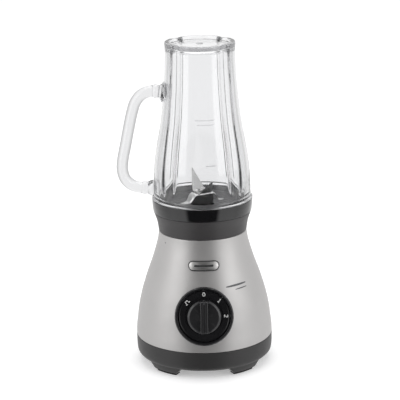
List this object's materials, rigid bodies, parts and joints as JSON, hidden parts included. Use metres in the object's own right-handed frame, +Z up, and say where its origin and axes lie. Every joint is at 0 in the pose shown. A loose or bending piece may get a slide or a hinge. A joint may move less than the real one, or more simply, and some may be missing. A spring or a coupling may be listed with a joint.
{
  "type": "countertop blender",
  "caption": "Countertop personal blender with a conical motor base, rotary switch, lift-off blade carrier and a clear fluted screw-on mug with a side handle.",
  "frame": {"origin": "On the drive axis, in the plane that the four foot pads stand on.", "axes": "+Z up along the drive axis; -Y is the front, where the dial is; -X is the side that the mug's handle points to."},
  "size_m": [0.1546, 0.1515, 0.3272],
  "materials": {
    "housing_silver": "satin metallic silver paint on moulded plastic",
    "charcoal_plastic": "fine-textured charcoal moulding",
    "foot_rubber": "matte black rubber",
    "bottom_plastic": "moulded black plastic",
    "screw_steel": "zinc-plated steel",
    "inlet_rubber": "black rubber",
    "badge_metal": "polished plain badge",
    "dial_gloss": "gloss black moulding",
    "switch_bakelite": "black phenolic switch body",
    "shaft_steel": "ground steel",
    "knob_gloss": "gloss black moulding",
    "bracket_zinc": "cast motor bracket",
    "lamination_steel": "stacked steel laminations",
    "copper_wire": "enamelled copper winding",
    "bearing_bronze": "sintered bronze",
    "brush_carbon": "pressed carbon",
    "coupler_plastic": "filled nylon",
    "board_green": "green solder mask",
    "carrier_gloss": "gloss black moulding",
    "seal_silicone": "translucent silicone",
    "blade_steel": "ground and polished stainless steel",
    "mug_clear": "clear moulded copolyester"
  },
  "bodies": {
    "base": {"base_housing": "housing_silver", "base_skirt": "charcoal_plastic", "neck_collar": "charcoal_plastic", "foot_pad_front_right": "foot_rubber", "foot_pad_front_left": "foot_rubber", "foot_pad_rear_right": "foot_rubber", "foot_pad_rear_left": "foot_rubber", "bottom_plate": "bottom_plastic", "bottom_screw_1": "screw_steel", "bottom_screw_2": "screw_steel", "bottom_screw_3": "screw_steel", "bottom_screw_4": "screw_steel", "cord_inlet_bushing": "inlet_rubber", "badge_plate": "badge_metal", "dial_bezel": "dial_gloss", "dial_plate": "dial_gloss", "rotary_switch": "switch_bakelite", "switch_nut": "screw_steel", "motor_top_bracket": "bracket_zinc", "motor_bottom_bracket": "bracket_zinc", "stator_core": "lamination_steel", "field_coil_left": "copper_wire", "field_coil_right": "copper_wire", "motor_bolt_1": "screw_steel", "motor_bolt_2": "screw_steel", "motor_grommet_1": "inlet_rubber", "motor_grommet_2": "inlet_rubber", "motor_screw_1": "screw_steel", "motor_screw_2": "screw_steel", "upper_motor_bearing": "bearing_bronze", "lower_motor_bearing": "bearing_bronze", "brush_holder_left": "bearing_bronze", "brush_holder_right": "bearing_bronze", "carbon_brush_left": "brush_carbon", "carbon_brush_right": "brush_carbon", "circuit_board": "board_green"},
    "knob": {"control_knob": "knob_gloss", "switch_shaft": "shaft_steel"},
    "rotor": {"motor_shaft": "shaft_steel", "armature_core": "lamination_steel", "armature_winding_upper": "copper_wire", "armature_winding_lower": "copper_wire", "commutator": "copper_wire", "cooling_fan": "coupler_plastic", "drive_coupler": "coupler_plastic"},
    "carrier": {"blade_carrier": "carrier_gloss", "bearing_pillar": "carrier_gloss", "pillar_nut": "screw_steel", "upper_spindle_bush": "bearing_bronze", "lower_spindle_bush": "bearing_bronze", "spindle_seal": "seal_silicone"},
    "blades": {"blade_spindle": "shaft_steel", "upper_blade": "blade_steel", "lower_blade": "blade_steel", "blade_nut": "blade_steel", "driven_coupler": "coupler_plastic"},
    "seal": {"mug_seal_ring": "seal_silicone"},
    "mug": {"mug_body": "mug_clear", "mug_handle": "mug_clear"}
  },
  "joints": [
    {"name": "knob_turn", "type": "hinge", "parent": "base", "child": "knob", "pos_m": [0, -0.06245, 0.06435], "axis": [0, 0.9787, -0.2053], "range_deg": [-50, 90]},
    {"name": "rotor_spin", "type": "hinge", "parent": "base", "child": "rotor", "pos_m": [0, 0, 0.077], "axis": [0, 0, 1], "continuous": true},
    {"name": "carrier_lift", "type": "slide", "parent": "base", "child": "carrier", "axis": [0, 0, 1], "range_m": [0, 0.08]},
    {"name": "blade_spin", "type": "hinge", "parent": "carrier", "child": "blades", "pos_m": [0, 0, 0.165], "axis": [0, 0, 1], "continuous": true},
    {"name": "mug_turn", "type": "hinge", "parent": "carrier", "child": "seal", "pos_m": [0, 0, 0.16], "axis": [0, 0, 1], "range_deg": [0, 360]},
    {"name": "mug_rise", "type": "slide", "parent": "seal", "child": "mug", "axis": [0, 0, 1], "range_m": [0, 0.01]}
  ],
  "couplings": [
    {"joint": "blade_spin", "follows": "rotor_spin", "ratio": 1},
    {"joint": "mug_rise", "follows": "mug_turn", "m_per_rad": 0.00159}
  ]
}
